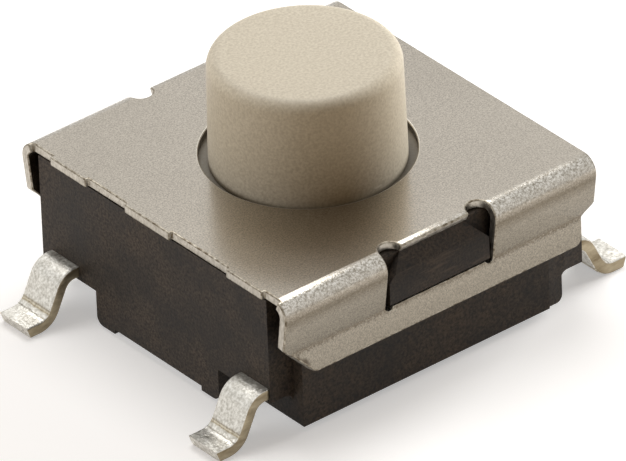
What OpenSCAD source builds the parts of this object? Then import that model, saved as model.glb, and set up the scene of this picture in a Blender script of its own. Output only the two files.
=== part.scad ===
// Tactile push button switch for surface mounting, in millimetres.
// X runs from terminal row to terminal row, Y from skirt to skirt, Z up from the board.
// The origin is on the board, under the axis of the plunger.

/* [Cover] */
// Width of the cover between its two cut edges
cover_x = 6.0; // [5.8:0.1:7]
// Width of the cover over its two folds
cover_y = 6.3; // [6.2:0.1:7]
// Height of the cover's top face above the board
cover_z = 2.6; // [2.5:0.05:3.4]
// Thickness of the cover sheet
sheet = 0.15; // [0.1:0.01:0.2]
// Radius of the folds, outside
fold_r = 0.27; // [0.22:0.01:0.4]
// Gap all round between the plunger and the edge of its hole
stem_gap = 0.15; // [0.05:0.01:0.2]
// Rounding of the hole's upper edge, left by the punch
hole_round = 0.05; // [0.02:0.01:0.08]
// Depth of the skirts below the cover's top face
skirt_h = 1.35; // [1.3:0.01:1.5]
// Depth of the crease above which a skirt leans in and below which it flares
crease_h = 0.96; // [0.9:0.01:1]
// How far a skirt leans in from its fold to its crease
lean = 0.13; // [0.05:0.01:0.2]
// Gap between a skirt and the housing at the crease
skirt_gap = 0.02; // [0:0.01:0.05]
// How far the lower edge of a skirt stands out from its crease
flare = 0.13; // [0.05:0.01:0.2]
// How far the hollow end of the lip is set in from the cut edge
lip_in = 0.3; // [0.2:0.01:0.6]
// Rounding of the lip's lower corner at that end
lip_r = 0.17; // [0.05:0.01:0.3]
// Depth at which the hollow +X end of a skirt starts to narrow towards the lip
shoulder_h = 0.8; // [0.6:0.05:0.85]
// Width of the corner cut off the -X end of a skirt
corner_cut = 0.52; // [0.2:0.01:0.7]
// Height of that cut
corner_rise = 0.55; // [0.2:0.01:0.7]
// Width of the latch windows in the skirts
window_x = 2.07; // [1.6:0.01:2.6]
// Depth of the windows' lower edge below the cover's top face
window_h = 0.95; // [0.85:0.01:1]
// How far the windows reach from the folds into the plate
window_in = 0.18; // [0.15:0.01:0.25]
// Radius of the round reliefs in the windows' upper corners
relief_r = 0.19; // [0.1:0.01:0.25]
// Radius of the small reliefs in the windows' lower corners
pip_r = 0.07; // [0.03:0.01:0.1]
// Depth of the stepped nicks along the -X cut edge
nick = 0.06; // [0.02:0.01:0.12]
// Length of the nick beside a fold
corner_nick = 0.28; // [0.1:0.01:0.4]

/* [Plunger] */
// Diameter of the plunger where it passes the cover
stem_d = 3.0; // [2.6:0.05:3.1]
// Height of the plunger's top above the board
stem_z = 4.3; // [3.4:0.1:9]
// Draft of the plunger's side in degrees
draft = 1; // [0:0.5:2]
// Rounding of the plunger's top edge
stem_round = 0.24; // [0.05:0.01:0.4]
// Gap all round between the collar under the cover and the wall of the chamber
collar_gap = 0.2; // [0.1:0.01:0.25]
// Thickness of the collar
collar_t = 0.45; // [0.3:0.05:0.6]
// Diameter of the nub that presses the dome
nub_d = 1.4; // [0.8:0.1:2]
// Travel from rest to closed contact
travel = 0.25; // [0.15:0.01:0.35]

/* [Housing] */
// Gap between a fold and the bevel along the housing's upper edge
fold_gap = 0.02; // [0.01:0.01:0.05]
// How far the cover's cut edges stand out over the terminal faces
edge_over = 0.05; // [0:0.01:0.1]
// Height of the housing's underside above the board
base_z = 0.14; // [0.05:0.01:0.3]
// Step from a terminal face back to the plinth under it
setback = 0.43; // [0.3:0.01:0.6]
// Step from a skirt face back to the near end of a terminal face, just past the near terminal
end_near = 0.24; // [0.1:0.02:0.4]
// Step from a skirt face back to the far end of a terminal face
end_far = 0.07; // [0.05:0.01:0.2]
// Gap between the far terminal and the tongue that reaches down between two of them
tongue_far = 0.4; // [0.2:0.01:0.8]
// Gap between the near terminal and that tongue
tongue_near = 0.54; // [0.2:0.01:0.8]
// Plastic under the contact frames along a terminal face
sill = 0.04; // [0.02:0.01:0.08]
// Hollow rounding between a sill and the plinth below it
sill_r = 0.14; // [0.05:0.01:0.3]
// Width of the stand-off at each end of a tongue
foot_y = 0.42; // [0.3:0.02:0.8]
// Depth of the stand-offs below the underside
foot_z = 0.08; // [0.02:0.01:0.1]
// Rounding of a tongue's lower corners
tongue_r = 0.14; // [0.05:0.01:0.2]
// Diameter of the round chamber for dome and collar
chamber_d = 4.3; // [4.2:0.05:4.6]
// Plastic over the contact frames at the floor of the chamber
skin = 0.12; // [0.05:0.01:0.2]
// Gap at each end of the latches that fill the windows
latch_side = 0.075; // [0.03:0.005:0.1]
// How far the latches stand out from the skirt faces
latch_y = 0.19; // [0.1:0.01:0.3]
// Gap between the latches' undersides and the windows' lower edges
latch_gap = 0.04; // [0.02:0.01:0.1]
// Width of the shallow step at one end of each skirt face
rebate_x = 0.28; // [0.1:0.02:0.5]
// Depth of that step
rebate_y = 0.04; // [0.02:0.01:0.08]
// Rounding of the plinth's lower corner under the step
plinth_r = 0.12; // [0.05:0.01:0.2]

/* [Terminals] */
// Length of a foot from the corner under its leg to its tip
toe = 0.45; // [0.35:0.01:0.6]
// Distance between the two terminals of a row
pitch = 4.5; // [4.2:0.05:4.6]
// Width of a terminal
lead_w = 0.66; // [0.5:0.01:0.7]
// Thickness of the contact frames
lead_t = 0.2; // [0.15:0.01:0.25]
// Height of the frames' underside where they leave the housing
lead_z = 0.67; // [0.6:0.01:0.75]
// Slope of the leg between foot and root in degrees
leg_slope = 64; // [50:1:80]
// Distance from the housing to the bend at the top of a leg
leg_out = 0.25; // [0.2:0.01:0.4]
// Bend radius at the top of a leg, on the middle of the strip
root_r = 0.28; // [0.15:0.01:0.3]
// Bend radius above the foot, on the middle of the strip
ankle_r = 0.32; // [0.2:0.01:0.4]
// Slant of the cut at a terminal's tip in degrees
tip_slant = 20; // [0:5:30]

/* [Contacts] */
// How far the pads stand above the floor of the chamber
pad_proud = 0.02; // [0.01:0.01:0.05]
// Diameter of the raised pad under the dome's centre
pad_d = 1.0; // [0.6:0.1:1.4]
// Distance from the dome's edge in to the middle of the pads under its rim
rim_inset = 0.2; // [0.15:0.01:0.25]
// Width of the arms inside the housing
arm_w = 0.6; // [0.4:0.05:0.7]
// Gap all round between the dome and the wall of the chamber
dome_gap = 0.15; // [0.05:0.01:0.2]
// Thickness of the dome
dome_t = 0.06; // [0.04:0.01:0.1]

/* [Hidden] */
$fn = 96;
// Overshoot of cuts past the faces that they break through
eps = 0.5;
// Straight pieces in each round bend
bend_steps = 8;
// Reach of an outline past what it trims
beyond = 2;
base_x = cover_x - 2 * edge_over;
base_y = cover_y - 2 * (sheet + lean + skirt_gap);
plate_under = cover_z - sheet;
skirt_z = cover_z - skirt_h;
crease_z = cover_z - crease_h;
shoulder_z = cover_z - shoulder_h;
window_z = cover_z - window_h;
window_y = cover_y - 2 * window_in;
hole_d = stem_d + 2 * stem_gap;
collar_d = chamber_d - 2 * collar_gap;
dome_d = chamber_d - 2 * dome_gap;
rim_pitch = dome_d - 2 * rim_inset;
latch_x = window_x - 2 * latch_side;
tongue_0 = (lead_w - pitch) / 2 + tongue_near;
tongue_1 = (pitch - lead_w) / 2 - tongue_far;
frame_top = lead_z + lead_t;
floor_z = frame_top + skin;
dome_z = floor_z + pad_proud;
dome_top = dome_z + travel + dome_t;
collar_z = plate_under - collar_t;
plinth_x = base_x / 2 - setback;
crease_y = cover_y / 2 - lean;
root_x = base_x / 2 + leg_out;
ankle_x = root_x + lead_z / tan(leg_slope);
tip_x = ankle_x + toe;
latch_z = window_z + latch_gap;
lean_angle = atan(lean / (cover_z - sheet / 2 - crease_z));
// Where the flat of the plate ends and the folds begin
fold_start = cover_y / 2 - sheet / 2 - (fold_r - sheet / 2) / tan(45 - lean_angle / 2);
bevel = max(0, base_y / 2 - fold_start) + fold_gap;
// Where each nick along a cut edge begins and ends in Y
nicks = [
    [-fold_start - nick, -fold_start + corner_nick],
    [-1.73, -0.4],
    [0.66, 1.58],
    [fold_start - 1.5 * corner_nick, fold_start + nick]];

function unit(v) = v / norm(v);
function normal(v) = [-v[1], v[0]];
function backwards(p) = [for (i = [len(p) - 1 : -1 : 0]) p[i]];
function mirrored(p) = [for (q = backwards(p)) [-q[0], q[1]]];

// Points of a round bend at corner b on the way from a to c
function bend(a, b, c, r) =
    let (
        u = unit(a - b),
        w = unit(c - b),
        half = acos(u * w) / 2,
        centre = b + unit(u + w) * r / sin(half),
        start = b + u * r / tan(half) - centre,
        a0 = atan2(start[1], start[0]),
        turn = (180 - 2 * half) * sign(cross(b - a, c - b))
    )
    [for (i = [0 : bend_steps])
        let (a1 = a0 + turn * i / bend_steps)
        centre + r * [cos(a1), sin(a1)]];

// A path moved sideways by d, with mitred corners
function beside(p, d) =
    [for (i = [0 : len(p) - 1])
        let (
            u = i == 0 ? unit(p[1] - p[0]) : unit(p[i] - p[i - 1]),
            w = i == len(p) - 1 ? u : unit(p[i + 1] - p[i]),
            m = unit(normal(u) + normal(w))
        )
        p[i] + m * d / (m * normal(u))];

// A strip of even thickness along a path
module strip(p, t)
    polygon(concat(beside(p, t / 2), backwards(beside(p, -t / 2))));

// Lays a YZ outline along X, centred
module along_x(len_x)
    rotate([90, 0, 90])
        linear_extrude(len_x, center = true)
            children();

// Lays an XZ outline along Y, centred
module along_y(len_y)
    rotate([90, 0, 0])
        linear_extrude(len_y, center = true)
            children();

// The same thing at both sides, turned half round about Z
module both_sides()
    for (turn = [0, 180])
        rotate([0, 0, turn])
            children();

// Cover

// Half of the folded sheet's middle line in YZ, from the lip up to the top
function half_sheet() =
    let (
        lip = [crease_y - sheet / 2 + flare, skirt_z],
        crease = [crease_y - sheet / 2, crease_z],
        corner = [cover_y / 2 - sheet / 2, cover_z - sheet / 2],
        top = [0, cover_z - sheet / 2]
    )
    concat([lip], bend(lip, crease, corner, sheet), bend(crease, corner, top, fold_r - sheet / 2));

// Outline of the skirts in XZ, from the lip's corner at the hollow +X end round to the cut corner
function skirt_front() =
    let (
        lip_end = cover_x / 2 - lip_in,
        round_mid = [lip_end - lip_r, skirt_z + lip_r]
    )
    concat(
        [[lip_end - lip_r, skirt_z - sheet]],
        [for (i = [0 : bend_steps])
            let (a = -90 + 90 * i / bend_steps)
            round_mid + lip_r * [cos(a), sin(a)]],
        [[lip_end, crease_z - sheet],
         [lip_end + lip_in / 6, crease_z],
         [lip_end + lip_in / 2, (crease_z + shoulder_z) / 2],
         [cover_x / 2, shoulder_z],
         [cover_x / 2, cover_z + eps],
         [-cover_x / 2, cover_z + eps],
         [-cover_x / 2, skirt_z + corner_rise],
         [-cover_x / 2 + corner_cut, skirt_z],
         [-cover_x / 2 + corner_cut, skirt_z - sheet]]);

// A window from the skirt up into the plate, its upper edge square to the bent sheet
module window() {
    turn = asin((window_y / 2 - fold_start) / fold_r);
    fold_mid = [fold_start, cover_z - fold_r];
    along_x(window_x)
        polygon([
            [fold_start, window_z],
            [cover_y, window_z],
            [cover_y, cover_z + eps],
            fold_mid + (fold_r + eps) * [sin(turn), cos(turn)],
            fold_mid]);
    for (side = [-1, 1]) {
        translate([side * (window_x / 2 - relief_r), window_y / 2, plate_under - fold_r])
            cylinder(r = relief_r, h = fold_r + sheet + eps);
        translate([side * (window_x / 2 - pip_r), fold_start, window_z])
            rotate([-90, 0, 0])
                cylinder(r = pip_r, h = cover_y / 2);
    }
}

module hole_cut() {
    translate([0, 0, plate_under - eps])
        cylinder(d = hole_d, h = sheet + 2 * eps);
    rotate_extrude()
        difference() {
            translate([hole_d / 2 - eps, cover_z - hole_round])
                square([eps + hole_round, hole_round + eps]);
            translate([hole_d / 2 + hole_round, cover_z - hole_round])
                circle(r = hole_round);
        }
}

module edge_nicks()
    for (n = nicks)
        translate([-cover_x / 2 - nick, n[0], plate_under - fold_r])
            cube([2 * nick, n[1] - n[0], 2 * fold_r + sheet]);

module cover() {
    color("#b9b1a7")
        difference() {
            intersection() {
                along_x(cover_x)
                    strip(concat(half_sheet(), mirrored(half_sheet())), sheet);
                along_y(cover_y + beyond)
                    polygon(skirt_front());
            }
            both_sides()
                window();
            hole_cut();
            edge_nicks();
        }
}

// Plunger

module plunger() {
    top_r = stem_d / 2 - (stem_z - cover_z) * tan(draft);
    shoulder_r = stem_d / 2 + (cover_z - plate_under) * tan(draft);
    color("#d7d0bf")
        rotate_extrude()
            polygon(concat(
                [[0, dome_top],
                 [nub_d / 2 - stem_round / 2, dome_top],
                 [nub_d / 2, dome_top + stem_round / 2],
                 [nub_d / 2, collar_z],
                 [collar_d / 2, collar_z],
                 [collar_d / 2, plate_under],
                 [shoulder_r, plate_under]],
                bend([shoulder_r, plate_under], [top_r, stem_z], [0, stem_z], stem_round),
                [[0, stem_z]]));
}

// Contact frames

// Middle line of a terminal in XZ, from its tip into the housing
function lead_path() =
    let (
        tip = [tip_x, lead_t / 2],
        low = [ankle_x, lead_t / 2],
        high = [root_x, lead_z + lead_t / 2],
        inside = [0, lead_z + lead_t / 2]
    )
    concat([tip], bend(tip, low, high, ankle_r), bend(low, high, inside, root_r), [inside]);

module lead_pair()
    both_sides()
        along_y(lead_w)
            difference() {
                strip(lead_path(), lead_t);
                translate([tip_x, lead_t])
                    rotate(-tip_slant)
                        translate([0, -2 * lead_t])
                            square([lead_t, 4 * lead_t]);
            }

// A round pad raised from the frame up to the dome
module pad(d)
    translate([0, 0, lead_z])
        cylinder(d = d, h = dome_z - lead_z);

module arm(from, to)
    translate([from[0] - arm_w / 2, min(from[1], to[1]), lead_z])
        cube([arm_w, abs(to[1] - from[1]), lead_t]);

module centre_frame_shape() {
    translate([0, pitch / 2, 0])
        lead_pair();
    arm([0, pitch / 2], [0, 0]);
    pad(pad_d);
}

module rim_frame_shape() {
    translate([0, -pitch / 2, 0])
        lead_pair();
    for (side = [-1, 1])
        translate([side * rim_pitch / 2, 0, 0]) {
            arm([0, -pitch / 2], [0, 0]);
            pad(arm_w);
        }
}

module centre_contact_frame() {
    color("#e3dfd6")
        centre_frame_shape();
}

module rim_contact_frame() {
    color("#dcd8cf")
        rim_frame_shape();
}

// Snap dome: a thin spherical cap standing on its rim

module snap_dome() {
    rim = dome_d / 2;
    ball_r = (rim * rim + travel * travel) / (2 * travel);
    open = asin(rim / ball_r);
    centre_z = dome_z + travel - ball_r;
    cap = [for (i = [0 : 2 * bend_steps])
        let (a = open * i / (2 * bend_steps))
        [sin(a), cos(a)]];
    color("#c4c3bf")
        rotate_extrude()
            translate([0, centre_z])
                polygon(concat(cap * (ball_r + dome_t), backwards(cap * ball_r)));
}

// Housing

// Half of the block under the cover: beveled along the fold, with its rebate and rounded corner
module plinth_half() {
    rebate_edge = plinth_x - rebate_x;
    difference() {
        translate([0, -base_y / 4, 0])
            along_y(base_y / 2)
                difference() {
                    translate([-plinth_x, base_z])
                        square([2 * plinth_x, plate_under - base_z]);
                    translate([plinth_x - plinth_r, base_z - plinth_r])
                        difference() {
                            square(2 * plinth_r);
                            translate([0, 2 * plinth_r])
                                circle(r = plinth_r);
                        }
                }
        translate([rebate_edge, -base_y / 2 - eps, base_z - eps])
            cube([rebate_x + eps, eps + rebate_y, plate_under]);
        along_x(base_x)
            translate([-base_y / 2, plate_under])
                polygon([
                    [2 * bevel, bevel],
                    [-bevel, bevel],
                    [-bevel, -2 * bevel]]);
    }
}

// Outline of a latch in YZ: flat underside, upright face, ramp towards the top
module latch_outline() {
    face = base_y / 2;
    ramp_z = (latch_z + 2 * plate_under) / 3;
    shelf = face - bevel;
    polygon([
        [face - eps, latch_z],
        [face + latch_y, latch_z],
        [face + latch_y, ramp_z],
        [shelf, plate_under],
        [face - eps, plate_under]]);
}

// Outline of a latch in XZ, with its upper corners cut off
module latch_front() {
    cut = (plate_under - latch_z) / 2;
    polygon([
        [-latch_x / 2, latch_z],
        [latch_x / 2, latch_z],
        [latch_x / 2, plate_under - cut],
        [latch_x / 2 - cut, plate_under],
        [-latch_x / 2 + cut, plate_under],
        [-latch_x / 2, plate_under - cut]]);
}

module latch()
    intersection() {
        along_x(latch_x)
            latch_outline();
        along_y(base_y + beyond)
            latch_front();
    }

// Outline of a tongue in YZ, with its lower corners rounded
module tongue_front() {
    low = base_z - foot_z;
    high = base_z + lead_z;
    polygon(concat(
        bend([tongue_0, high], [tongue_0, low], [tongue_1, low], tongue_r),
        bend([tongue_0, low], [tongue_1, low], [tongue_1, high], tongue_r),
        [[tongue_1, high], [tongue_0, high]]));
}

// One terminal face, with a hollow rounding, the tongue and its stand-offs under it
module terminal_face() {
    y0 = -base_y / 2 + end_near;
    y1 = base_y / 2 - end_far;
    under = lead_z - sill;
    translate([-base_x / 2, y0, under])
        cube([base_x / 2, y1 - y0, plate_under - under]);
    translate([-plinth_x - sill_r, (y0 + y1) / 2, under - sill_r])
        along_y(y1 - y0)
            difference() {
                square(sill_r);
                circle(r = sill_r);
            }
    intersection() {
        along_x(base_x)
            tongue_front();
        union() {
            translate([-base_x / 2, tongue_0, base_z])
                cube([base_x / 2, tongue_1 - tongue_0, lead_z]);
            for (y = [tongue_0, tongue_1 - foot_y])
                translate([-base_x / 2, y, base_z - foot_z])
                    cube([setback, foot_y, lead_z]);
        }
    }
}

module housing() {
    color("#37342f")
        difference() {
            both_sides() {
                terminal_face();
                plinth_half();
                latch();
            }
            translate([0, 0, floor_z])
                cylinder(d = chamber_d, h = cover_z);
            centre_frame_shape();
            rim_frame_shape();
        }
}

housing();
centre_contact_frame();
rim_contact_frame();
snap_dome();
plunger();
cover();
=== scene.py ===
from math import acos, asin, atan2, cos, hypot, pi, radians, sin, tan

import bmesh
import bpy
from mathutils import Matrix, Vector


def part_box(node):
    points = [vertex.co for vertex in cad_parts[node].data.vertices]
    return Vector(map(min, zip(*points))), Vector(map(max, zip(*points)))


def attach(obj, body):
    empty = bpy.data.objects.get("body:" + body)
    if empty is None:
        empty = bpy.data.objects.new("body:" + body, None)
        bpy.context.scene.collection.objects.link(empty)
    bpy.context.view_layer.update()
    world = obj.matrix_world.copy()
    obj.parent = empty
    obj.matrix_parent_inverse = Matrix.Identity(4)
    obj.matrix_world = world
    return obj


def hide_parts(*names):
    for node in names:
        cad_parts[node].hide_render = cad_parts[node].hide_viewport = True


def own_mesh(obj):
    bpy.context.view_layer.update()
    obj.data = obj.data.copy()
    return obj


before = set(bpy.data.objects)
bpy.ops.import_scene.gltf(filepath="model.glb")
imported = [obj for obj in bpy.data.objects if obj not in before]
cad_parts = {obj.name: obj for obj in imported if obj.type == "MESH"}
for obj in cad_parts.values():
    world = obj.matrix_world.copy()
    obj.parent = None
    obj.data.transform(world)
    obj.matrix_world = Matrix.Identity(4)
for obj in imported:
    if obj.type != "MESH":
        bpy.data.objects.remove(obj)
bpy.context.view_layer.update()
mm = 0.001
# millimetres within which two points are one
touching = 1e-4
print("frame loaded:", ", ".join(sorted(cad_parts)))


# Shapes are worked out in millimetres and scaled once, when a mesh is written

def unit(v):
    length = hypot(*v)
    return (v[0] / length, v[1] / length)


# arc of a given radius at corner b, on the way from a to c
def roundBend(a, b, c, radius, steps=14):
    u = unit((a[0] - b[0], a[1] - b[1]))
    w = unit((c[0] - b[0], c[1] - b[1]))
    half = acos(u[0] * w[0] + u[1] * w[1]) / 2
    m = unit((u[0] + w[0], u[1] + w[1]))
    centre = (b[0] + m[0] * radius / sin(half), b[1] + m[1] * radius / sin(half))
    start = (b[0] + u[0] * radius / tan(half) - centre[0],
             b[1] + u[1] * radius / tan(half) - centre[1])
    way = (b[0] - a[0]) * (c[1] - b[1]) - (b[1] - a[1]) * (c[0] - b[0])
    turn = (pi - 2 * half) * (1 if way > 0 else -1)
    a0 = atan2(start[1], start[0])
    return [(centre[0] + radius * cos(a0 + turn * i / steps),
             centre[1] + radius * sin(a0 + turn * i / steps)) for i in range(steps + 1)]


def arc(centre, radius, a0, a1, steps=10):
    return [(centre[0] + radius * cos(radians(a0 + (a1 - a0) * i / steps)),
             centre[1] + radius * sin(radians(a0 + (a1 - a0) * i / steps))) for i in range(steps + 1)]


# lengths from the start of a path to each of its points
def pathLengths(points):
    total, lengths = 0.0, [0.0]
    for a, b in zip(points, points[1:]):
        total += hypot(b[0] - a[0], b[1] - a[1])
        lengths.append(total)
    return lengths


def newObject(name, mesh):
    made = bpy.data.objects.new(name, mesh)
    bpy.context.scene.collection.objects.link(made)
    return made


def meshFromBmesh(name, bm, scale=mm):
    bmesh.ops.scale(bm, vec=(scale,) * 3, verts=bm.verts)
    mesh = bpy.data.meshes.new(name)
    bm.to_mesh(mesh)
    bm.free()
    return newObject(name, mesh)


def curveObject(name, points):
    curve = bpy.data.curves.new(name, "CURVE")
    curve.dimensions = "3D"
    spline = curve.splines.new("POLY")
    spline.points.add(len(points) - 1)
    for slot, p in zip(spline.points, points):
        slot.co = (p[0] * mm, p[1] * mm, p[2] * mm, 1)
    return newObject(name, curve)


def geometryTree(name, inputs):
    tree = bpy.data.node_groups.new(name, "GeometryNodeTree")
    tree.is_modifier = True
    tree.interface.new_socket(name="Geometry", in_out="INPUT", socket_type="NodeSocketGeometry")
    for label, kind in inputs.items():
        tree.interface.new_socket(name=label, in_out="INPUT", socket_type="NodeSocket" + kind)
    tree.interface.new_socket(name="Geometry", in_out="OUTPUT", socket_type="NodeSocketGeometry")
    return tree


def addNode(tree, kind, links=None, **settings):
    node = tree.nodes.new(kind)
    for key, value in settings.items():
        setattr(node, key, value)
    for key, value in (links or {}).items():
        socket = node.inputs[key]
        if isinstance(value, bpy.types.NodeSocket):
            tree.links.new(value, socket)
        else:
            socket.default_value = value
    return node


def useTree(piece, tree, values):
    modifier = piece.modifiers.new(tree.name, "NODES")
    modifier.node_group = tree
    for item in tree.interface.items_tree:
        if item.in_out == "INPUT" and item.name in values:
            modifier[item.identifier] = values[item.name]


# the evaluated piece as a plain mesh, with no modifier left on it
def bakePiece(source, name):
    bpy.context.view_layer.update()
    graph = bpy.context.evaluated_depsgraph_get()
    mesh = bpy.data.meshes.new_from_object(source.evaluated_get(graph))
    bpy.data.objects.remove(source)
    mesh.name = name
    return newObject(name, mesh)


def addBevel(piece, width, segments, angle, **settings):
    bevel = piece.modifiers.new("edges", "BEVEL")
    bevel.width = width * mm
    bevel.segments = segments
    bevel.limit_method = "ANGLE"
    bevel.angle_limit = radians(angle)
    for key, value in settings.items():
        setattr(bevel, key, value)


# large faces shade flat, and the rounded edges between them shade round
def addEvenShading(piece):
    even = piece.modifiers.new("evenShading", "WEIGHTED_NORMAL")
    even.keep_sharp = True
    even.weight = 80


def smoothFaces(piece, angle):
    piece.data.shade_smooth()
    piece.data.set_sharp_from_angle(angle=radians(angle))


# a copy of a CAD node's mesh, in metres, with its loose triangles joined
def mergedCopy(node):
    bm = bmesh.new()
    bm.from_mesh(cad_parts[node].data)
    bmesh.ops.remove_doubles(bm, verts=bm.verts, dist=0.0005 * mm)
    return bm


# Materials: a look gives colours, shares of 0 to 1, and the millimetres between which a mark fades in

def newMaterial(name, **sockets):
    material = bpy.data.materials.new(name)
    material.use_nodes = True
    shader = material.node_tree.nodes["Principled BSDF"]
    for key, value in sockets.items():
        shader.inputs[key.replace("_", " ")].default_value = value
    return material, material.node_tree, shader


def setMaterials(piece, *materials):
    piece.data.materials.clear()
    for material in materials:
        piece.data.materials.append(material)


def mathOn(tree, operation, a, b=0):
    return addNode(tree, "ShaderNodeMath", {0: a, 1: b}, operation=operation).outputs[0]


def vectorOn(tree, operation, a, b=(0, 0, 0)):
    return addNode(tree, "ShaderNodeVectorMath", {0: a, 1: b}, operation=operation).outputs[0]


def noiseOn(tree, scale, detail, roughness=0.6, stretch=(1, 1, 1)):
    place = addNode(tree, "ShaderNodeTexCoord")
    mapping = addNode(tree, "ShaderNodeMapping", {"Vector": place.outputs["Object"], "Scale": stretch})
    return addNode(tree, "ShaderNodeTexNoise", {
        "Vector": mapping.outputs["Vector"], "Scale": scale, "Detail": detail,
        "Roughness": roughness}).outputs["Fac"]


def rampOn(tree, source, stops):
    ramp = addNode(tree, "ShaderNodeValToRGB", {"Fac": source})
    elements = ramp.color_ramp.elements
    while len(elements) < len(stops):
        elements.new(0.5)
    for element, (where, colour) in zip(elements, stops):
        element.position = where
        element.color = (*colour, 1)
    return ramp.outputs["Color"]


def rangeOn(tree, source, low, high, toLow, toHigh):
    return addNode(tree, "ShaderNodeMapRange", {
        "Value": source, "From Min": low, "From Max": high,
        "To Min": toLow, "To Max": toHigh}).outputs["Result"]


# noise lies mostly between 0.3 and 0.7, which is spread over two values
def spreadOn(tree, noise, toLow, toHigh):
    return rangeOn(tree, noise, 0.3, 0.7, toLow, toHigh)


def betweenOn(tree, source, limits, toLow=0, toHigh=1):
    return rangeOn(tree, source, limits[0] * mm, limits[1] * mm, toLow, toHigh)


def mixColours(tree, fac, a, b, blend="MIX"):
    mix = addNode(tree, "ShaderNodeMix", data_type="RGBA", blend_type=blend)
    for socket, value in ((mix.inputs[0], fac), (mix.inputs[6], a), (mix.inputs[7], b)):
        if isinstance(value, bpy.types.NodeSocket):
            tree.links.new(value, socket)
        else:
            socket.default_value = value if isinstance(value, (int, float)) else (*value, 1)
    return mix.outputs[2]


def tintOn(tree, colour, tint):
    return mixColours(tree, 1.0, colour, tint, "MULTIPLY")


def bumpOn(tree, height, strength, distance):
    return addNode(tree, "ShaderNodeBump", {
        "Height": height, "Strength": strength, "Distance": distance * mm}).outputs["Normal"]


def wire(tree, shader, **sources):
    for key, source in sources.items():
        tree.links.new(source, shader.inputs[key.replace("_", " ")])


def placeOn(tree):
    place = addNode(tree, "ShaderNodeTexCoord")
    return addNode(tree, "ShaderNodeSeparateXYZ", {0: place.outputs["Object"]}).outputs


# distance from a point given in millimetres, with each axis stretched
def distanceOn(tree, point, stretch):
    place = addNode(tree, "ShaderNodeTexCoord")
    away = vectorOn(tree, "SUBTRACT", place.outputs["Object"], tuple(v * mm for v in point))
    spread = vectorOn(tree, "MULTIPLY", away, stretch)
    return addNode(tree, "ShaderNodeVectorMath", {0: spread}, operation="LENGTH").outputs["Value"]


# 1 at a point, fading to 0 at a radius that noise makes ragged
def spotOn(tree, point, radius, stretch=(1, 1, 1)):
    ragged = spreadOn(tree, noiseOn(tree, 9000, 3), 0.55 * radius * mm, 1.3 * radius * mm)
    share = mathOn(tree, "DIVIDE", distanceOn(tree, point, stretch), ragged)
    return rangeOn(tree, share, 0.6, 1.0, 1.0, 0.0)


coverLook = {
    "tone": ((0.425, 0.385, 0.325), (0.455, 0.415, 0.355)), "roughness": (0.19, 0.25),
    "speck": [(0.30, (0.77, 0.77, 0.77)), (0.70, (1.23, 1.23, 1.23))],
    # painted light and shade on the skirt by height, from below upwards: a lighter lip, which faces up, painted
    # shade in the crease, the skirt, and painted shade in the streak under the fold
    "skirt": (1.2, 2.6), "skirtShadingSway": 0.035,
    "skirtShading": [(0.02, (0.62, 0.61, 0.58)), (0.27, (0.73, 0.72, 0.69)), (0.315, (0.40, 0.37, 0.33)),
             (0.36, (0.54, 0.53, 0.50)), (0.62, (0.63, 0.62, 0.59)), (0.77, (0.42, 0.39, 0.34)),
             (0.90, (1.0, 1.0, 1.0))],
    # crazed where the sheet was stretched, by distance across the part and by share of the skirt's height
    "foldAcross": (2.84, 2.98), "foldHeight": (0.84, 0.99), "plateRelief": 0.05,
    "crazed": [(0.38, (0.22, 0.195, 0.15)), (0.66, (0.78, 0.75, 0.69))],
    # painted shade: dark ragged patches at the crease's end by the cut corner, where the notch's shadow falls
    "cornerShadeSpots": [((-2.80, -3.06, 1.50), 0.15), ((-2.66, -3.09, 1.42), 0.12)],
    "cornerShadeColour": (0.09, 0.07, 0.05), "cornerShadeShare": 0.85,
    # the rim of the plunger's hole is the only cut so near the axis; its wall gets painted shade and its
    # rounded corner a painted highlight
    "holeRim": (1.75, 1.85), "holeWallShade": (0.16, 0.135, 0.10), "holeRimHighlight": (0.60, 0.56, 0.49),
    "bareEdge": [(0.3, (0.32, 0.29, 0.24)), (0.7, (0.62, 0.58, 0.51))], "edgeRoughness": (0.3, 0.5),
    "tornCorner": [(0.36, (0.11, 0.085, 0.055)), (0.66, (0.42, 0.38, 0.31))],
}


def holeOn(tree):
    return betweenOn(tree, distanceOn(tree, (0, 0, 0), (1, 1, 0)), coverLook["holeRim"], 1, 0)


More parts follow.
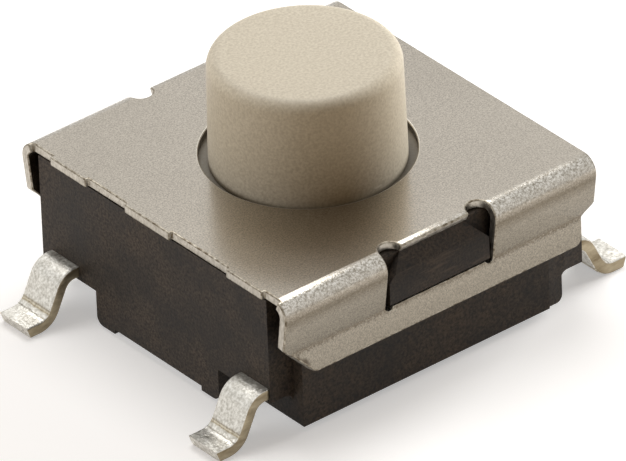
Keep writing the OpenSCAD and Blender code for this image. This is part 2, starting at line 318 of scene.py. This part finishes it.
def coverMaterials():
    look = coverLook
    sheet, tree, shader = newMaterial("satinCoverSheet", Metallic=1.0)
    cloud = noiseOn(tree, 300, 2)
    grain = noiseOn(tree, 42000, 1)
    crazed = noiseOn(tree, 26000, 3, 0.7)
    place = placeOn(tree)
    height = betweenOn(tree, place["Z"], look["skirt"])
    fold = mathOn(tree, "MULTIPLY", betweenOn(tree, mathOn(tree, "ABSOLUTE", place["Y"]), look["foldAcross"]),
                  rangeOn(tree, height, *look["foldHeight"], 0, 1))
    # painted light and shade on the skirt, by height with a ragged edge
    swayed = mathOn(tree, "ADD", height, spreadOn(tree, crazed, -look["skirtShadingSway"], look["skirtShadingSway"]))
    speckled = tintOn(tree, mixColours(tree, cloud, *look["tone"]), rampOn(tree, grain, look["speck"]))
    even = tintOn(tree, speckled, rampOn(tree, swayed, look["skirtShading"]))
    clean = mixColours(tree, fold, even, rampOn(tree, crazed, look["crazed"]))
    # painted shade at the cut corner
    cornerShade = mathOn(tree, "MAXIMUM", *[spotOn(tree, point, radius) for point, radius in look["cornerShadeSpots"]])
    relief = mathOn(tree, "MULTIPLY", rangeOn(tree, fold, 0, 1, look["plateRelief"], 1.0),
                    mathOn(tree, "ADD", grain, crazed))
    wire(tree, shader,
         Base_Color=mixColours(tree, mathOn(tree, "MULTIPLY", cornerShade, look["cornerShadeShare"]), clean,
                               look["cornerShadeColour"]),
         Roughness=spreadOn(tree, cloud, *look["roughness"]),
         Normal=bumpOn(tree, relief, 0.5, 0.005))
    cut, tree, shader = newMaterial("shearedCoverEdge", Metallic=1.0)
    drag = noiseOn(tree, 20000, 3, stretch=(1, 1, 0.5))
    # painted shade on the wall of the plunger's hole
    wire(tree, shader,
         Base_Color=mixColours(tree, holeOn(tree), rampOn(tree, drag, look["bareEdge"]), look["holeWallShade"]),
         Roughness=spreadOn(tree, drag, *look["edgeRoughness"]))
    # dark where the press sheared the corner off, with a painted highlight on the rim of the hole, where its
    # edge catches the light
    corner, tree, shader = newMaterial("shearedCoverCorner", Metallic=1.0, Roughness=0.4)
    torn = rampOn(tree, noiseOn(tree, 14000, 3), look["tornCorner"])
    wire(tree, shader, Base_Color=mixColours(tree, holeOn(tree), torn, look["holeRimHighlight"]))
    return sheet, cut, corner


plungerLook = {
    "tone": ((0.645, 0.595, 0.48), (0.685, 0.635, 0.525)), "roughness": (0.46, 0.54),
    "speck": [(0.32, (0.85, 0.83, 0.80)), (0.68, (1.10, 1.10, 1.10))],
    # painted shade on the collar, down in the gap round the stem, where the gap's shadow falls
    "gapShadeHeight": (2.46, 2.53), "gapShadeShare": 0.75, "gapShadeColour": (0.10, 0.085, 0.065),
    # the flash mark: its place, its radius and how each axis is stretched
    "flash": ((0.13, -1.49, 2.58), 0.06, (0.6, 1, 2.6)), "flashShare": 0.7, "flashColour": (0.86, 0.81, 0.70),
}


def plungerMaterial():
    look = plungerLook
    material, tree, shader = newMaterial("mouldedCreamPlastic", IOR=1.48)
    cloud = noiseOn(tree, 700, 4)
    grain = noiseOn(tree, 24000, 2)
    clean = tintOn(tree, mixColours(tree, cloud, *look["tone"]), rampOn(tree, grain, look["speck"]))
    # painted shade in the gap round the stem, darkest at the bottom
    gapShade = betweenOn(tree, placeOn(tree)["Z"], look["gapShadeHeight"], look["gapShadeShare"], 0)
    flash = mathOn(tree, "MULTIPLY", spotOn(tree, *look["flash"]), look["flashShare"])
    wire(tree, shader,
         Base_Color=mixColours(tree, flash, mixColours(tree, gapShade, clean, look["gapShadeColour"]),
                               look["flashColour"]),
         Roughness=spreadOn(tree, cloud, *look["roughness"]),
         Normal=bumpOn(tree, grain, 0.2, 0.004))
    return material


housingLook = {
    "tone": ((0.014, 0.0115, 0.0092), (0.041, 0.0355, 0.0305)), "cloudRange": (0.36, 0.64),
    "speck": [(0.34, (0.30, 0.28, 0.26)), (0.68, (2.3, 2.1, 1.95))], "roughness": (0.5, 0.62),
    # the windows' edges scraped the latches, which alone stand out this far
    "latchAcross": (2.88, 2.92), "scrapeRange": (0.54, 0.66), "scrapeShare": 0.8,
    "scrapeColour": (0.085, 0.066, 0.052),
}


def housingMaterial():
    look = housingLook
    material, tree, shader = newMaterial("blackMouldedHousing", IOR=1.5, Specular_IOR_Level=0.22)
    cloud = noiseOn(tree, 1300, 5)
    fibres = noiseOn(tree, 24000, 3)
    tone = mixColours(tree, rangeOn(tree, cloud, *look["cloudRange"], 0, 1), *look["tone"])
    clean = tintOn(tree, tone, rampOn(tree, fibres, look["speck"]))
    latch = betweenOn(tree, mathOn(tree, "ABSOLUTE", placeOn(tree)["Y"]), look["latchAcross"])
    streaks = noiseOn(tree, 9000, 4, 0.7, (0.16, 1, 1))
    scrape = rangeOn(tree, streaks, *look["scrapeRange"], 0, look["scrapeShare"])
    wire(tree, shader,
         Base_Color=mixColours(tree, mathOn(tree, "MULTIPLY", latch, scrape), clean, look["scrapeColour"]),
         Roughness=spreadOn(tree, cloud, *look["roughness"]),
         Normal=bumpOn(tree, fibres, 0.6, 0.008))
    return material


terminalLook = {
    "tone": ((0.54, 0.52, 0.47), (0.82, 0.80, 0.75)), "roughness": (0.34, 0.50),
    "speck": [(0.32, (0.66, 0.64, 0.60)), (0.64, (1.15, 1.15, 1.15))],
    # bright dipped tin, marked by the forming tool across each ankle, in millimetres from the tip
    "marks": [(0.36, (1.0, 1.0, 1.0)), (0.39, (0.42, 0.40, 0.36)), (0.42, (1.0, 1.0, 1.0)),
              (0.50, (0.98, 0.97, 0.94)), (0.53, (0.58, 0.50, 0.37)), (0.56, (0.95, 0.90, 0.80)),
              (0.59, (0.50, 0.45, 0.37)), (0.62, (1.0, 1.0, 1.0))],
    "markSway": 0.015,
    "bronze": [(0.3, (0.17, 0.13, 0.075)), (0.7, (0.45, 0.385, 0.27))], "bronzeRoughness": (0.34, 0.5),
}


def terminalMaterials():
    look = terminalLook
    tin, tree, shader = newMaterial("reflowedTinPlating", Metallic=1.0)
    cloud = noiseOn(tree, 8000, 4)
    grain = noiseOn(tree, 22000, 3)
    fromTip = addNode(tree, "ShaderNodeAttribute", attribute_name="along").outputs["Fac"]
    swayed = mathOn(tree, "ADD", mathOn(tree, "DIVIDE", fromTip, mm),
                    spreadOn(tree, cloud, -look["markSway"], look["markSway"]))
    speckled = tintOn(tree, mixColours(tree, cloud, *look["tone"]), rampOn(tree, grain, look["speck"]))
    wire(tree, shader,
         Base_Color=tintOn(tree, speckled, rampOn(tree, swayed, look["marks"])),
         Roughness=spreadOn(tree, cloud, *look["roughness"]),
         Normal=bumpOn(tree, mathOn(tree, "ADD", grain, cloud), 0.7, 0.012))
    bronze, tree, shader = newMaterial("bareBronzeCut", Metallic=1.0)
    drag = noiseOn(tree, 6000, 4, stretch=(0.4, 1, 1))
    wire(tree, shader,
         Base_Color=rampOn(tree, drag, look["bronze"]),
         Roughness=spreadOn(tree, drag, *look["bronzeRoughness"]),
         Normal=bumpOn(tree, drag, 0.3, 0.006))
    return tin, bronze


domeLook = {"tone": ((0.50, 0.50, 0.49), (0.66, 0.66, 0.65)), "roughness": (0.24, 0.36)}


def domeMaterial():
    material, tree, shader = newMaterial("rolledDomeSpring", Metallic=1.0)
    lines = noiseOn(tree, 5000, 3, stretch=(0.05, 1, 1))
    wire(tree, shader,
         Base_Color=mixColours(tree, lines, *domeLook["tone"]),
         Roughness=spreadOn(tree, lines, *domeLook["roughness"]),
         Normal=bumpOn(tree, lines, 0.15, 0.002))
    return material


coverSheet, coverCut, coverCorner = coverMaterials()
creamPlastic = plungerMaterial()
blackPlastic = housingMaterial()
tinPlating, bronzeCut = terminalMaterials()
domeSpring = domeMaterial()
print("materials ready")


# Cover: a flat blank with its windows, hole and nicks, folded along its profile

cover = {
    "depth": 6.3, "sheet": 0.15, "foldRadius": 0.27, "lean": 0.13, "flare": 0.13, "creaseDrop": 0.96,
    "holeDiameter": 3.3, "shoulderDrop": 0.8, "shoulderLead": 0.2, "shoulderRound": 0.08, "kneeRound": 0.22,
    "lipInset": 0.3, "lipRadius": 0.17, "cornerCut": 0.52, "cornerRise": 0.55, "cutRound": 0.07,
    "cutEndRound": 0.12, "windowWidth": 2.07, "windowDrop": 0.95, "windowReach": 0.18, "relief": 0.19,
    "pip": 0.07, "nick": 0.06, "farNick": (0.66, 1.58), "nearNick": (0.4, 1.73), "cornerNick": 0.28,
    "edgeRound": 0.022, "closestPoints": 0.008, "flatAngle": 0.01, "lineAngle": 0.0005,
}
coverLow, coverHigh = (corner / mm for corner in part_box("cover"))
cover["width"] = coverHigh.x - coverLow.x
cover["top"] = coverHigh.z
cover["lipZ"] = coverLow.z


def coverProfile():
    c = cover
    half = c["sheet"] / 2
    creaseY = c["depth"] / 2 - c["lean"] - half
    top = (0, c["top"] - half)
    corner = (c["depth"] / 2 - half, c["top"] - half)
    crease = (creaseY, c["top"] - c["creaseDrop"])
    lip = (creaseY + c["flare"], c["lipZ"])
    fold = roundBend(top, corner, crease, c["foldRadius"] - half)
    swell = roundBend(corner, crease, lip, c["sheet"])
    return [top] + fold + swell + [lip]


foldPath = coverProfile()
foldLengths = pathLengths(foldPath)


# distance along the profile at which it passes a height on the skirt
def lengthAtHeight(z):
    for a, b, s in zip(foldPath[1:], foldPath[2:], foldLengths[1:]):
        if b[1] <= z <= a[1]:
            share = (a[1] - z) / (a[1] - b[1])
            return s + share * hypot(b[0] - a[0], b[1] - a[1])
    return foldLengths[-1]


# the blank's +X edge from the plate's middle out to the lip, as (x, length along the fold)
def hollowEdge():
    c = cover
    x = c["width"] / 2
    lip = x - c["lipInset"]
    knee = lip + c["lipInset"] / 6
    shoulder = lengthAtHeight(c["top"] - c["shoulderDrop"])
    crease = lengthAtHeight(c["top"] - c["creaseDrop"])
    bottom = foldLengths[-1]
    r = c["lipRadius"]
    lead = (x, shoulder - c["shoulderLead"])
    sweep = roundBend(lead, (x, shoulder), (knee, crease), c["shoulderRound"], 5)
    turnIn = roundBend((x, shoulder), (knee, crease), (lip, bottom), c["kneeRound"], 7)
    return sweep + turnIn + arc((lip - r, bottom - r), r, 0, 90, 8)


# its -X edge, stepped by the nicks and cut off towards the lip
def steppedEdge(nicks):
    c = cover
    x = -c["width"] / 2
    points = []
    for s0, s1 in nicks:
        points += [(x, s0), (x + c["nick"], s0), (x + c["nick"], s1), (x, s1)]
    upper = (x, lengthAtHeight(c["lipZ"] + c["cornerRise"]))
    lower = (x + c["cornerCut"], foldLengths[-1])
    middle = (0, foldLengths[-1])
    points += roundBend(points[-1], upper, lower, c["cutRound"], 4)
    return points + roundBend(upper, lower, middle, c["cutEndRound"], 5)


def windowOutline():
    c = cover
    x = c["windowWidth"] / 2
    edgeAngle = asin((c["depth"] / 2 - c["windowReach"] - foldPath[1][0]) / c["foldRadius"])
    upper = foldLengths[1] + (c["foldRadius"] - c["sheet"] / 2) * edgeAngle
    lower = lengthAtHeight(c["top"] - c["windowDrop"])
    left = -x + c["relief"]
    right = x - c["relief"]
    outline = [(-x, lower - c["pip"])] + arc((-x + c["pip"], lower), c["pip"], 180, 0, 8)
    outline += arc((x - c["pip"], lower), c["pip"], 180, 0, 8) + [(x, upper)]
    outline += arc((right, upper), c["relief"], 0, -180, 14) + arc((left, upper), c["relief"], 0, -180, 14)
    return outline


def coverBlank():
    c = cover
    foldStart = foldPath[1][0]
    # nicks towards +Y, then those towards -Y, as distances from the middle of the plate
    far = [c["farNick"], (foldStart - 1.5 * c["cornerNick"], foldStart + c["nick"])]
    near = [c["nearNick"], (foldStart - c["cornerNick"], foldStart + c["nick"])]
    outline = hollowEdge() + steppedEdge(far)[::-1]
    outline += [(x, -s) for x, s in steppedEdge(near) + hollowEdge()[::-1]]
    window = windowOutline()
    hole = arc((0, 0), c["holeDiameter"] / 2, 0, 360, 120)[:-1]
    loops = [outline, window, [(-x, -s) for x, s in window], hole]
    bm = bmesh.new()
    for loop in loops:
        verts = [bm.verts.new((x, s, 0)) for x, s in loop]
        for a, b in zip(verts, verts[1:] + verts[:1]):
            bm.edges.new((a, b))
    bmesh.ops.remove_doubles(bm, verts=bm.verts, dist=touching)
    bmesh.ops.triangle_fill(bm, edges=bm.edges, use_beauty=True)
    bmesh.ops.dissolve_limit(bm, angle_limit=c["flatAngle"], verts=bm.verts, edges=bm.edges)
    bmesh.ops.recalc_face_normals(bm, faces=bm.faces)
    if sum(f.normal.z * f.calc_area() for f in bm.faces) < 0:
        bmesh.ops.reverse_faces(bm, faces=bm.faces)
    # few faces and no crowded points, so that the edges round evenly
    bmesh.ops.remove_doubles(bm, verts=bm.verts, dist=c["closestPoints"])
    bmesh.ops.dissolve_limit(bm, angle_limit=c["lineAngle"], verts=bm.verts[:], edges=bm.edges[:])
    return meshFromBmesh("coverBlank", bm)


# the blank with its thickness and its sheared edges, parted along the lines where it bends
def coverSlab():
    blank = coverBlank()
    setMaterials(blank, coverSheet, coverCut, coverCorner)
    wall = blank.modifiers.new("sheet", "SOLIDIFY")
    wall.thickness = cover["sheet"] * mm
    wall.offset = 0
    wall.material_offset_rim = 1
    addBevel(blank, cover["edgeRound"], 3, 50, material=2, use_clamp_overlap=False)
    slab = bakePiece(blank, "coverSlab")
    bm = bmesh.new()
    bm.from_mesh(slab.data)
    for s in foldLengths[1:-1]:
        for side in (1, -1):
            bmesh.ops.bisect_plane(bm, geom=bm.verts[:] + bm.edges[:] + bm.faces[:], dist=touching * mm,
                                   plane_co=(0, side * s * mm, 0), plane_no=(0, 1, 0))
    bm.to_mesh(slab.data)
    bm.free()
    return slab


# a point goes to its distance along the profile and keeps its depth in the sheet, square to it
def foldTree():
    tree = geometryTree("foldAlongProfile", {"Profile": "Object", "Material": "Material"})
    given = addNode(tree, "NodeGroupInput")
    profile = addNode(tree, "GeometryNodeObjectInfo", {"Object": given.outputs["Profile"]})
    flat = addNode(tree, "GeometryNodeInputPosition")
    parts = addNode(tree, "ShaderNodeSeparateXYZ", {0: flat.outputs[0]}).outputs
    sample = addNode(tree, "GeometryNodeSampleCurve", {
        "Curves": profile.outputs["Geometry"], "Length": mathOn(tree, "ABSOLUTE", parts["Y"])}, mode="LENGTH")
    outward = vectorOn(tree, "NORMALIZE", vectorOn(tree, "CROSS_PRODUCT", (1, 0, 0), sample.outputs["Tangent"]))
    depth = vectorOn(tree, "MULTIPLY", outward, parts["Z"])
    place = vectorOn(tree, "ADD", sample.outputs["Position"], depth)
    bent = addNode(tree, "ShaderNodeSeparateXYZ", {0: place}).outputs
    across = mathOn(tree, "MULTIPLY", bent["Y"], mathOn(tree, "SIGN", parts["Y"]))
    joined = addNode(tree, "ShaderNodeCombineXYZ", {"X": parts["X"], "Y": across, "Z": bent["Z"]})
    folded = addNode(tree, "GeometryNodeSetPosition", {
        "Geometry": given.outputs["Geometry"], "Position": joined.outputs[0]})
    real = addNode(tree, "GeometryNodeRealizeInstances", {"Geometry": folded.outputs[0]})
    slot = addNode(tree, "GeometryNodeInputMaterialIndex")
    isSheet = mathOn(tree, "LESS_THAN", slot.outputs[0], 0.5)
    dressed = addNode(tree, "GeometryNodeSetMaterial", {
        "Geometry": real.outputs[0], "Selection": isSheet, "Material": given.outputs["Material"]})
    addNode(tree, "NodeGroupOutput", {"Geometry": dressed.outputs[0]})
    return tree


def buildCover():
    slab = coverSlab()
    profile = curveObject("coverProfile", [(0, y, z) for y, z in foldPath])
    useTree(slab, foldTree(), {"Profile": profile, "Material": coverSheet})
    folded = bakePiece(slab, "coverFolded")
    bpy.data.objects.remove(profile)
    smoothFaces(folded, 35)
    addEvenShading(folded)
    piece = bakePiece(folded, "folded_cover")
    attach(piece, "switch")
    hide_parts("cover")
    return piece


foldedCover = buildCover()
print("cover folded:", len(foldedCover.data.polygons), "faces")


# Plunger: turned about its axis, with a softly rounded rim

plunger = {
    "stemDiameter": 3.0, "draft": 1.0, "rimRadius": 0.2, "collarThickness": 0.45,
    "nubDiameter": 1.4, "nubRound": 0.12, "nubClear": 0.01, "footRound": 0.03, "steps": 128,
    "dish": 0.012, "dishShare": 0.6,
}
plungerLow, plungerHigh = (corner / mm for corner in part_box("plunger"))
plunger["top"] = plungerHigh.z
plunger["bottom"] = plungerLow.z + plunger["nubClear"]
plunger["collarDiameter"] = plungerHigh.x - plungerLow.x


def plungerProfile():
    p = plunger
    under = cover["top"] - cover["sheet"]
    lean = tan(radians(p["draft"]))
    topR = p["stemDiameter"] / 2 - (p["top"] - cover["top"]) * lean
    shoulderR = p["stemDiameter"] / 2 + cover["sheet"] * lean
    collarR = p["collarDiameter"] / 2
    collarZ = under - p["collarThickness"]
    nubR = p["nubDiameter"] / 2
    rim = roundBend((shoulderR, under), (topR, p["top"]), (0, p["top"]), p["rimRadius"], 10)
    foot = p["footRound"]
    dished = (rim[-1][0] * p["dishShare"], p["top"] - p["dish"] * p["dishShare"])
    return ([(0, p["bottom"])]
            + roundBend((0, p["bottom"]), (nubR, p["bottom"]), (nubR, collarZ), p["nubRound"], 4)
            + [(nubR, collarZ)]
            + roundBend((nubR, collarZ), (collarR, collarZ), (collarR, under), foot, 3)
            + roundBend((collarR, collarZ), (collarR, under), (0, under), foot, 3)
            + [(shoulderR, under)] + rim + [dished, (0, p["top"] - p["dish"])])


def buildPlunger():
    bm = bmesh.new()
    verts = [bm.verts.new((r, 0, z)) for r, z in plungerProfile()]
    edges = [bm.edges.new(pair) for pair in zip(verts, verts[1:])]
    bmesh.ops.spin(bm, geom=verts + edges, cent=(0, 0, 0), axis=(0, 0, 1), angle=2 * pi,
                   steps=plunger["steps"], use_merge=True)
    bmesh.ops.remove_doubles(bm, verts=bm.verts, dist=touching)
    bmesh.ops.recalc_face_normals(bm, faces=bm.faces)
    piece = meshFromBmesh("push_button", bm)
    setMaterials(piece, creamPlastic)
    smoothFaces(piece, 40)
    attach(piece, "button")
    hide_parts("plunger")
    return piece


pushButton = buildPlunger()
print("plunger turned:", len(pushButton.data.polygons), "faces")


# Contact frames: a strip of sheet swept along its bends, with arms and pads inside

contacts = {
    "pitch": 4.5, "width": 0.66, "thickness": 0.2, "rootZ": 0.67, "legSlope": 64, "legOut": 0.25,
    "rootRadius": 0.28, "ankleRadius": 0.32, "toe": 0.45, "tipSlant": 20, "edgeRadius": 0.035,
    "armWidth": 0.6, "centrePad": 1.0, "rimPitch": 3.6, "padTop": 1.01, "baseWidth": 5.9,
}


def leadPath():
    c = contacts
    half = c["thickness"] / 2
    rootX = c["baseWidth"] / 2 + c["legOut"]
    ankleX = rootX + c["rootZ"] / tan(radians(c["legSlope"]))
    tip = (ankleX + c["toe"], half)
    low = (ankleX, half)
    high = (rootX, c["rootZ"] + half)
    inside = (0, c["rootZ"] + half)
    right = [tip] + roundBend(tip, low, high, c["ankleRadius"])
    right += roundBend(low, high, inside, c["rootRadius"])
    return right + [(-x, z) for x, z in reversed(right)]


def stripTree():
    tree = geometryTree("sweptContactStrip", {
        "Width": "Float", "Thickness": "Float", "Edge radius": "Float", "Row": "Float",
        "Plating": "Material", "Cut": "Material"})
    given = addNode(tree, "NodeGroupInput")
    outline = addNode(tree, "GeometryNodeCurvePrimitiveQuadrilateral", {
        "Width": given.outputs["Width"], "Height": given.outputs["Thickness"]})
    rounded = addNode(tree, "GeometryNodeFilletCurve", {
        "Curve": outline.outputs[0], "Count": 3, "Radius": given.outputs["Edge radius"]}, mode="POLY")
    along = addNode(tree, "GeometryNodeSplineParameter")
    whole = addNode(tree, "GeometryNodeSplineLength")
    rest = mathOn(tree, "SUBTRACT", whole.outputs["Length"], along.outputs["Length"])
    fromTip = mathOn(tree, "MINIMUM", rest, along.outputs["Length"])
    marked = addNode(tree, "GeometryNodeStoreNamedAttribute", {
        "Geometry": given.outputs["Geometry"], "Name": "along", "Value": fromTip},
        data_type="FLOAT", domain="POINT")
    swept = addNode(tree, "GeometryNodeCurveToMesh", {
        "Curve": marked.outputs[0], "Profile Curve": rounded.outputs[0], "Fill Caps": True})
    shift = addNode(tree, "ShaderNodeCombineXYZ", {"Y": given.outputs["Row"]})
    placed = addNode(tree, "GeometryNodeSetPosition", {
        "Geometry": swept.outputs[0], "Offset": shift.outputs[0]})
    real = addNode(tree, "GeometryNodeRealizeInstances", {"Geometry": placed.outputs[0]})
    plated = addNode(tree, "GeometryNodeSetMaterial", {
        "Geometry": real.outputs[0], "Material": given.outputs["Plating"]})
    facing = addNode(tree, "GeometryNodeInputNormal")
    parts = addNode(tree, "ShaderNodeSeparateXYZ", {0: facing.outputs[0]})
    isCut = mathOn(tree, "GREATER_THAN", mathOn(tree, "ABSOLUTE", parts.outputs["Y"]), 0.8)
    trimmed = addNode(tree, "GeometryNodeSetMaterial", {
        "Geometry": plated.outputs[0], "Selection": isCut, "Material": given.outputs["Cut"]})
    addNode(tree, "NodeGroupOutput", {"Geometry": trimmed.outputs[0]})
    return tree


# closed blocks and round pads, added to a piece where they lie inside the housing
def addInnerShapes(piece, blocks, pads):
    bm = bmesh.new()
    bm.from_mesh(piece.data)
    for (x0, x1), (y0, y1), (z0, z1) in blocks:
        made = bmesh.ops.create_cube(bm, size=1)["verts"]
        bmesh.ops.scale(bm, verts=made, vec=((x1 - x0) * mm, (y1 - y0) * mm, (z1 - z0) * mm))
        middle = ((x0 + x1) / 2 * mm, (y0 + y1) / 2 * mm, (z0 + z1) / 2 * mm)
        bmesh.ops.translate(bm, verts=made, vec=middle)
    for x, diameter, z0, z1 in pads:
        made = bmesh.ops.create_cone(bm, cap_ends=True, segments=48, radius1=diameter / 2 * mm,
                                     radius2=diameter / 2 * mm, depth=(z1 - z0) * mm)["verts"]
        bmesh.ops.translate(bm, verts=made, vec=(x * mm, 0, (z0 + z1) / 2 * mm))
    bm.to_mesh(piece.data)
    bm.free()


# the tips were cut off from below, at a slant
def slantTips(piece):
    slope = tan(radians(contacts["tipSlant"]))
    reach = max(v.co.x for v in piece.data.vertices)
    for v in piece.data.vertices:
        if abs(v.co.x) > reach - touching * mm:
            v.co.x -= (1 if v.co.x > 0 else -1) * (contacts["thickness"] * mm - v.co.z) * slope


def buildContactFrame(name, node, row, armsAt, pads):
    c = contacts
    path = curveObject(name + "Path", [(x, 0, z) for x, z in leadPath()])
    setMaterials(path, tinPlating, bronzeCut)
    useTree(path, frameTree, {
        "Width": c["width"] * mm, "Thickness": c["thickness"] * mm, "Edge radius": c["edgeRadius"] * mm,
        "Row": row * mm, "Plating": tinPlating, "Cut": bronzeCut})
    piece = bakePiece(path, name)
    slantTips(piece)
    top = c["rootZ"] + c["thickness"]
    blocks = [((x - c["armWidth"] / 2, x + c["armWidth"] / 2), sorted((0, row)), (c["rootZ"], top))
              for x in armsAt]
    addInnerShapes(piece, blocks, [(x, d, c["rootZ"], c["padTop"]) for x, d in pads])
    smoothFaces(piece, 32)
    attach(piece, "switch")
    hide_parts(node)
    return piece


frameTree = stripTree()
rimX = contacts["rimPitch"] / 2
centreFrame = buildContactFrame("centre_terminals", "centre_contact_frame", contacts["pitch"] / 2,
                                [0], [(0, contacts["centrePad"])])
rimFrame = buildContactFrame("rim_terminals", "rim_contact_frame", -contacts["pitch"] / 2,
                             [-rimX, rimX], [(-rimX, contacts["armWidth"]), (rimX, contacts["armWidth"])])
print("terminals swept:", len(centreFrame.data.polygons), "and", len(rimFrame.data.polygons), "faces")


# Housing: the moulding from the frame with its edges broken

housing = {"edgeRound": 0.03, "flatAngle": 0.5}


def buildHousing():
    bm = mergedCopy("housing")
    bmesh.ops.dissolve_limit(bm, angle_limit=radians(housing["flatAngle"]), verts=bm.verts, edges=bm.edges)
    blank = meshFromBmesh("housingBlank", bm, 1)
    smoothFaces(blank, 40)
    addBevel(blank, housing["edgeRound"], 2, 40, harden_normals=True)
    addEvenShading(blank)
    piece = bakePiece(blank, "moulded_housing")
    setMaterials(piece, blackPlastic)
    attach(piece, "switch")
    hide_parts("housing")
    return piece


mouldedHousing = buildHousing()
print("housing edges broken:", len(mouldedHousing.data.polygons), "faces")


# Snap dome: the sprung cap from the frame, copied as it stands; the real one flattens towards its rim as the
# plunger comes down


def buildDome():
    piece = meshFromBmesh("click_dome", mergedCopy("snap_dome"), 1)
    setMaterials(piece, domeSpring)
    smoothFaces(piece, 32)
    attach(piece, "switch")
    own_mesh(piece)
    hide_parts("snap_dome")
    return piece


clickDome = buildDome()
print("snap dome set:", len(clickDome.data.polygons), "faces")


# Camera at the photograph's viewing angle

view = {
    "azimuth": -38.18, "elevation": 32.82, "roll": -2.28, "distance": 212.13,
    "target": (-0.279, -0.527, 1.5), "nudge": (-0.082, 0.016), "focal": 816.8, "sensor": 36,
    "clip": (0.001, 10),
}


def placeCamera():
    az, el, roll = (radians(view[k]) for k in ("azimuth", "elevation", "roll"))
    back = Vector((sin(az) * cos(el), -cos(az) * cos(el), sin(el)))
    right = Vector((cos(az), sin(az), 0))
    up = back.cross(right)
    acrossView = cos(roll) * right + sin(roll) * up
    upView = cos(roll) * up - sin(roll) * right
    target = Vector(view["target"]) + view["nudge"][0] * acrossView + view["nudge"][1] * upView
    data = bpy.data.cameras.new("photoCamera")
    data.lens = view["focal"]
    data.sensor_width = view["sensor"]
    data.clip_start, data.clip_end = view["clip"]
    camera = newObject("photoCamera", data)
    turn = Matrix((acrossView, upView, back)).transposed().to_4x4()
    camera.matrix_world = Matrix.Translation((target + back * view["distance"]) * mm) @ turn
    bpy.context.scene.camera = camera


placeCamera()


# Studio: pale floor, white surround and soft lamps

studio = {
    "floorRadius": 400, "floorColour": (0.84, 0.835, 0.825), "bounceColour": (0.77, 0.66, 0.51),
    "floorLift": 0.42, "floorSpread": 0.01, "surround": (0.125, 0.085, 0.048),
    "lamps": {
        # direction it shines from (x, y, z), distance, size, power and whether gloss shows it
        "overhead": ((0.15, 0.35, 1.0), 60, 45, 0.0178, True),
        "rightWindow": ((1.0, -0.06, 0.34), 55, 36, 0.032, False),
        "leftWindow": ((-1.0, 0.62, 0.45), 60, 35, 0.012, False),
    },
}


# warm where it only lights the object, and neutral and lifted to white where it is seen
def floorMaterial():
    material = bpy.data.materials.new("paleStudioFloor")
    material.use_nodes = True
    tree = material.node_tree
    tree.nodes.clear()
    cloud = noiseOn(tree, 30, 2)
    paler = tuple(v + studio["floorSpread"] for v in studio["floorColour"])
    tone = mixColours(tree, cloud, studio["floorColour"], paler)
    matt = addNode(tree, "ShaderNodeBsdfDiffuse", {"Color": tone})
    glow = addNode(tree, "ShaderNodeEmission", {"Color": (1, 1, 1, 1), "Strength": studio["floorLift"]})
    both = addNode(tree, "ShaderNodeAddShader", {0: matt.outputs[0], 1: glow.outputs[0]})
    bounce = addNode(tree, "ShaderNodeBsdfDiffuse", {"Color": (*studio["bounceColour"], 1)})
    chosen = addNode(tree, "ShaderNodeMixShader", {
        0: seenPath(tree), 1: bounce.outputs[0], 2: both.outputs[0]})
    addNode(tree, "ShaderNodeOutputMaterial", {"Surface": chosen.outputs[0]})
    return material


# 1 for rays from the camera, from gloss and through glass, but not for those that light a matt surface
def seenPath(tree):
    path = addNode(tree, "ShaderNodeLightPath")
    gloss = mathOn(tree, "MAXIMUM", path.outputs["Is Camera Ray"], path.outputs["Is Glossy Ray"])
    seen = mathOn(tree, "MAXIMUM", gloss, path.outputs["Is Transmission Ray"])
    return mathOn(tree, "MULTIPLY", seen, mathOn(tree, "LESS_THAN", path.outputs["Diffuse Depth"], 0.5))


def buildStudio():
    bm = bmesh.new()
    bmesh.ops.create_circle(bm, cap_ends=True, segments=64, radius=studio["floorRadius"])
    floor = meshFromBmesh("studio_floor", bm)
    setMaterials(floor, floorMaterial())
    world = bpy.data.worlds.new("studioSurround")
    bpy.context.scene.world = world
    world.use_nodes = True
    tree = world.node_tree
    tone = mixColours(tree, seenPath(tree), studio["surround"], (1, 1, 1))
    tree.links.new(tone, tree.nodes["Background"].inputs["Color"])
    for name, (direction, distance, size, power, inGloss) in studio["lamps"].items():
        lamp = bpy.data.lights.new(name, "AREA")
        lamp.shape = "DISK"
        lamp.size = size * mm
        lamp.energy = power
        holder = newObject(name, lamp)
        away = Vector(direction).normalized()
        turn = away.to_track_quat("Z", "Y").to_matrix().to_4x4()
        holder.matrix_world = Matrix.Translation(away * distance * mm) @ turn
        holder.visible_camera = False
        holder.visible_glossy = inGloss


buildStudio()
bpy.context.scene.view_settings.view_transform = "Standard"
print("camera and studio ready")
